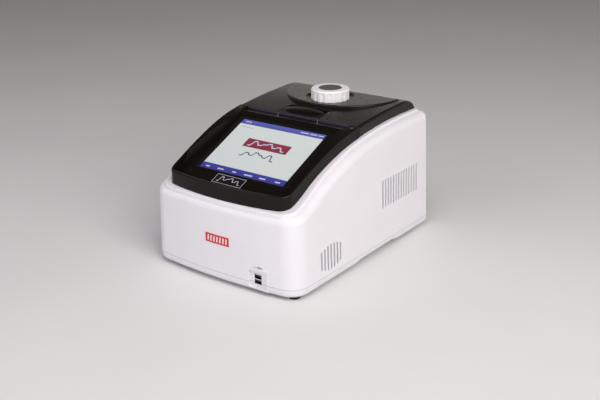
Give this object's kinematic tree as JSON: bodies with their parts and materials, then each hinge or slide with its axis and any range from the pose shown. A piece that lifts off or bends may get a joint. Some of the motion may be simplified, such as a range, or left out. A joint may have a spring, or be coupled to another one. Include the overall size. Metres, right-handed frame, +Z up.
{
  "type": "thermal cycler",
  "caption": "Bench thermal cycler: pale moulded casing, sloping touch screen in a black top, hinged heated lid with a pressure knob over a tube block.",
  "frame": {"origin": "centre of the footprint, on the surface under the feet", "axes": "+X to the right seen from the front, +Y to the back, +Z up"},
  "size_m": [0.2834, 0.3912, 0.2423],
  "materials": {
    "casing_white": "fine satin moulding texture",
    "top_black": "satin black moulding",
    "deck_plastic": "matt dark grey",
    "screen_glass": "polished cover glass over a lit display",
    "badge_dark": "dark label with a silver edge",
    "badge_red": "glossy red label",
    "knob_white": "satin white moulding",
    "knob_grey": "matt dark grey disc",
    "rubber_black": "matt rubber",
    "silicone": "translucent grey silicone",
    "steel_plain": "brushed",
    "steel_zinc": "zinc plated sheet",
    "screw_steel": "turned steel",
    "aluminium_plain": "bead blasted",
    "aluminium_fin": "extruded",
    "board_green": "solder mask",
    "black_nylon": "moulded nylon",
    "ceramic_white": "fired ceramic",
    "mat_orange": "silicone heater mat",
    "usb_metal": "plated shell",
    "light_pipe": "smoked plastic",
    "panel_grey": "fine powder coat",
    "fuse_glass": "clear glass",
    "brass_turned": "turned"
  },
  "bodies": {
    "cabinet": {"upper_housing": "casing_white", "base_tray": "casing_white", "rubber_feet": "rubber_black", "foot_screws": "screw_steel", "casing_screws": "screw_steel", "screen_bezel": "top_black", "touch_screen": "screen_glass", "display_module": "steel_zinc", "display_board": "board_green", "badge_plate": "badge_dark", "status_light": "light_pipe", "bezel_screw_covers": "knob_grey", "front_plate": "badge_red", "usb_connector": "usb_metal", "usb_tongues": "black_nylon", "usb_board": "board_green", "hinge_brackets": "steel_plain", "hinge_pins": "screw_steel", "latch_striker": "steel_plain", "sample_block": "aluminium_plain", "block_screws": "screw_steel", "block_gasket": "silicone", "block_surround": "deck_plastic", "surround_spacers": "aluminium_plain", "surround_screws": "screw_steel", "peltier_modules": "ceramic_white", "heat_sink": "aluminium_fin", "sink_supports": "aluminium_plain", "fan_shelf": "steel_zinc", "fan_frames": "black_nylon", "chassis_plate": "steel_zinc", "main_board": "board_green", "board_standoffs": "brass_turned", "power_supply": "steel_zinc", "rear_panel": "panel_grey", "power_inlet": "black_nylon", "switch_housing": "black_nylon"},
    "lid": {"lid_cover": "top_black", "lid_liner": "deck_plastic", "liner_screws": "screw_steel", "lid_hinge_arms": "steel_plain", "latch_pin": "screw_steel", "latch_springs": "screw_steel", "shaft_bush": "brass_turned"},
    "latch": {"latch_lever": "top_black", "latch_clips": "screw_steel"},
    "pressure_knob": {"knob": "knob_white", "knob_cap": "knob_grey", "knob_shaft": "screw_steel", "shaft_collar": "steel_plain"},
    "press_plate": {"plate_carrier": "black_nylon", "guide_posts": "screw_steel", "heated_plate": "aluminium_plain", "heater_mat": "mat_orange"},
    "left_fan": {"fan_rotor_left": "black_nylon"},
    "right_fan": {"fan_rotor_right": "black_nylon"},
    "fuse_carrier": {"fuse_drawer": "black_nylon", "fuse_link": "fuse_glass"},
    "mains_rocker": {"power_rocker": "black_nylon"}
  },
  "joints": [
    {"name": "lid_hinge", "type": "hinge", "parent": "cabinet", "child": "lid", "pos_m": [0, 0.177, 0.2124], "axis": [-1, 0, 0], "range_deg": [0, 80]},
    {"name": "latch_pivot", "type": "hinge", "parent": "lid", "child": "latch", "pos_m": [0, 0.0108, 0.213], "axis": [-1, 0, 0], "range_deg": [0, 6], "stiffness_Nm_per_rad": 1.2, "springref_deg": -6.88, "deforming": ["latch_springs"]},
    {"name": "knob_turn", "type": "hinge", "parent": "lid", "child": "pressure_knob", "pos_m": [0, 0.099, 0.23], "axis": [0, 0, -1], "range_deg": [0, 360]},
    {"name": "plate_lift", "type": "slide", "parent": "lid", "child": "press_plate", "axis": [0, 0, -1], "range_m": [0, 0.006]},
    {"name": "left_fan_spin", "type": "hinge", "parent": "cabinet", "child": "left_fan", "pos_m": [-0.0475, 0.099, 0.08], "axis": [0, 0, 1], "continuous": true},
    {"name": "right_fan_spin", "type": "hinge", "parent": "cabinet", "child": "right_fan", "pos_m": [0.0475, 0.099, 0.08], "axis": [0, 0, 1], "continuous": true},
    {"name": "fuse_drawer_slide", "type": "slide", "parent": "cabinet", "child": "fuse_carrier", "axis": [0, 1, 0], "range_m": [0, 0.014]},
    {"name": "rocker_pivot", "type": "hinge", "parent": "cabinet", "child": "mains_rocker", "pos_m": [0.067, 0.1845, 0.0785], "axis": [0, 0, -1], "range_deg": [0, 15]}
  ],
  "couplings": [
    {"joint": "knob_turn", "follows": "plate_lift", "rad_per_m": 1047.2}
  ]
}
